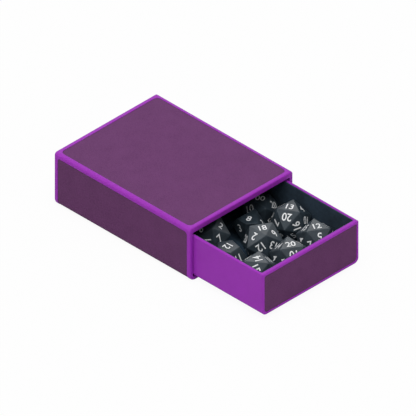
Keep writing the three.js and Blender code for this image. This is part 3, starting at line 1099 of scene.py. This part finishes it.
class CHEST_OT_stage(bpy.types.Operator):
    """Camera at the photograph's angle, plain pale floor and soft light"""

    bl_idname = "chest.stage"
    bl_label = "Stage"

    def execute(self, context):
        scene = context.scene
        scene.view_settings.view_transform = "Standard"
        self.camera(scene)
        self.floor(scene)
        self.key(scene)
        self.softbox(scene)
        self.sky(scene)
        return {"FINISHED"}

    def camera(self, scene):
        stage = scene.chest_stage
        flat = math.cos(stage.elevation)
        back = Vector((
            -flat * math.sin(stage.azimuth), -flat * math.cos(stage.azimuth), math.sin(stage.elevation)))
        turn = back.to_track_quat("Z", "Y").to_matrix()
        right, up = turn.col[0], turn.col[1]
        shift_right = (IMAGE_SIZE / 2 - ORIGIN_PIXEL[0]) / PIXELS_PER_MM * MM
        shift_up = (ORIGIN_PIXEL[1] - IMAGE_SIZE / 2) / PIXELS_PER_MM * MM
        data = bpy.data.cameras.new("photo_camera")
        data.type = "ORTHO"
        data.ortho_scale = IMAGE_SIZE / PIXELS_PER_MM * MM
        data.clip_start, data.clip_end = CAMERA_CLIP
        camera = bpy.data.objects.new("photo_camera", data)
        scene.collection.objects.link(camera)
        camera.matrix_world = turn.to_4x4()
        camera.location = right * shift_right + up * shift_up + back * CAMERA_DISTANCE
        scene.camera = camera

    def floor(self, scene):
        bm = bmesh.new()
        bmesh.ops.create_grid(bm, x_segments=1, y_segments=1, size=FLOOR_REACH)
        floor = mesh_object("floor", bm)
        floor.location.z = CAD_BOUNDS[0][2] - FLOOR_DROP
        paper = Finish("floor_paper", tuple(scene.chest_stage.floor), roughness=0.9, specular=0.0)
        glow = paper.add("ShaderNodeEmission", Color=WHITE, Strength=1.0)
        rays = paper.add("ShaderNodeLightPath").outputs
        seen = math_node(paper.tree, "MULTIPLY", rays["Is Camera Ray"], FLOOR_GLOW_SHARE)
        mirrored = math_node(paper.tree, "MAXIMUM", rays["Is Glossy Ray"], rays["Is Transmission Ray"])
        share = math_node(paper.tree, "MULTIPLY_ADD", mirrored, FLOOR_MIRROR_SHARE, seen)
        mix = paper.add("ShaderNodeMixShader")
        for socket, value in zip(mix.inputs, (share, paper.shader.outputs[0], glow.outputs[0])):
            paper.links.new(value, socket)
        paper.links.new(mix.outputs[0], paper.nodes["Material Output"].inputs["Surface"])
        floor.data.materials.append(paper.material)

    def key(self, scene):
        key = lamp(scene, "key", "SUN", KEY_DIRECTION)
        key.data.energy = scene.chest_stage.key_strength
        key.data.angle = KEY_SPREAD
        key.visible_glossy = False

    def softbox(self, scene):
        box = lamp(scene, "softbox", "AREA", SOFTBOX_DIRECTION)
        box.data.shape = "RECTANGLE"
        box.data.size, box.data.size_y = SOFTBOX_SIZE
        box.data.energy = scene.chest_stage.softbox_strength
        box.location = Vector(SOFTBOX_DIRECTION) * SOFTBOX_DISTANCE
        box.visible_diffuse = False

    def sky(self, scene):
        world = bpy.data.worlds.new("studio")
        scene.world = world
        world.use_nodes = True
        tree = world.node_tree
        background = tree.nodes["Background"]
        background.inputs["Color"].default_value = WHITE
        rays = tree.nodes.new("ShaderNodeLightPath").outputs
        seen = math_node(tree, "MAXIMUM", rays["Is Camera Ray"], rays["Is Glossy Ray"])
        clear = math_node(tree, "MAXIMUM", seen, rays["Is Transmission Ray"])
        level = tree.nodes.new("ShaderNodeMapRange")
        tree.links.new(clear, level.inputs["Value"])
        level.inputs["To Min"].default_value = scene.chest_stage.sky_strength
        level.inputs["To Max"].default_value = 1.0
        tree.links.new(level.outputs["Result"], background.inputs["Strength"])


class CHEST_PT_panel(bpy.types.Panel):
    """Lists the chest's pieces"""

    bl_idname = "CHEST_PT_panel"
    bl_label = "Dice storage chest"
    bl_space_type = "VIEW_3D"
    bl_region_type = "UI"
    bl_category = "Dice chest"

    def draw(self, context):
        for operator in OPERATORS:
            self.layout.operator(operator.bl_idname)
        for group in (context.scene.chest_shape, context.scene.chest_finish, context.scene.chest_stage):
            box = self.layout.box()
            for name in group.__annotations__:
                box.prop(group, name)


OPERATORS = (
    CHEST_OT_sleeve_cover,
    CHEST_OT_sleeve_panels,
    CHEST_OT_sleeve_lining,
    CHEST_OT_drawer_cover,
    CHEST_OT_drawer_panels,
    CHEST_OT_drawer_linings,
    CHEST_OT_boards,
    CHEST_OT_dice,
    CHEST_OT_stage,
)
GROUPS = (("chest_shape", ChestShape), ("chest_finish", ChestFinish), ("chest_stage", ChestStage))


def register():
    for name, group in GROUPS:
        bpy.utils.register_class(group)
        setattr(bpy.types.Scene, name, bpy.props.PointerProperty(type=group))
    for operator in OPERATORS:
        bpy.utils.register_class(operator)
    bpy.utils.register_class(CHEST_PT_panel)


def unregister():
    bpy.utils.unregister_class(CHEST_PT_panel)
    for operator in reversed(OPERATORS):
        bpy.utils.unregister_class(operator)
    for name, group in reversed(GROUPS):
        delattr(bpy.types.Scene, name)
        bpy.utils.unregister_class(group)


def main():
    register()
    bpy.ops.chest.sleeve_cover()
    bpy.ops.chest.sleeve_panels()
    bpy.ops.chest.sleeve_lining()
    bpy.ops.chest.drawer_cover()
    bpy.ops.chest.drawer_panels()
    bpy.ops.chest.drawer_linings()
    bpy.ops.chest.boards()
    bpy.ops.chest.dice()
    bpy.ops.chest.stage()


if __name__ == "__main__":
    main()
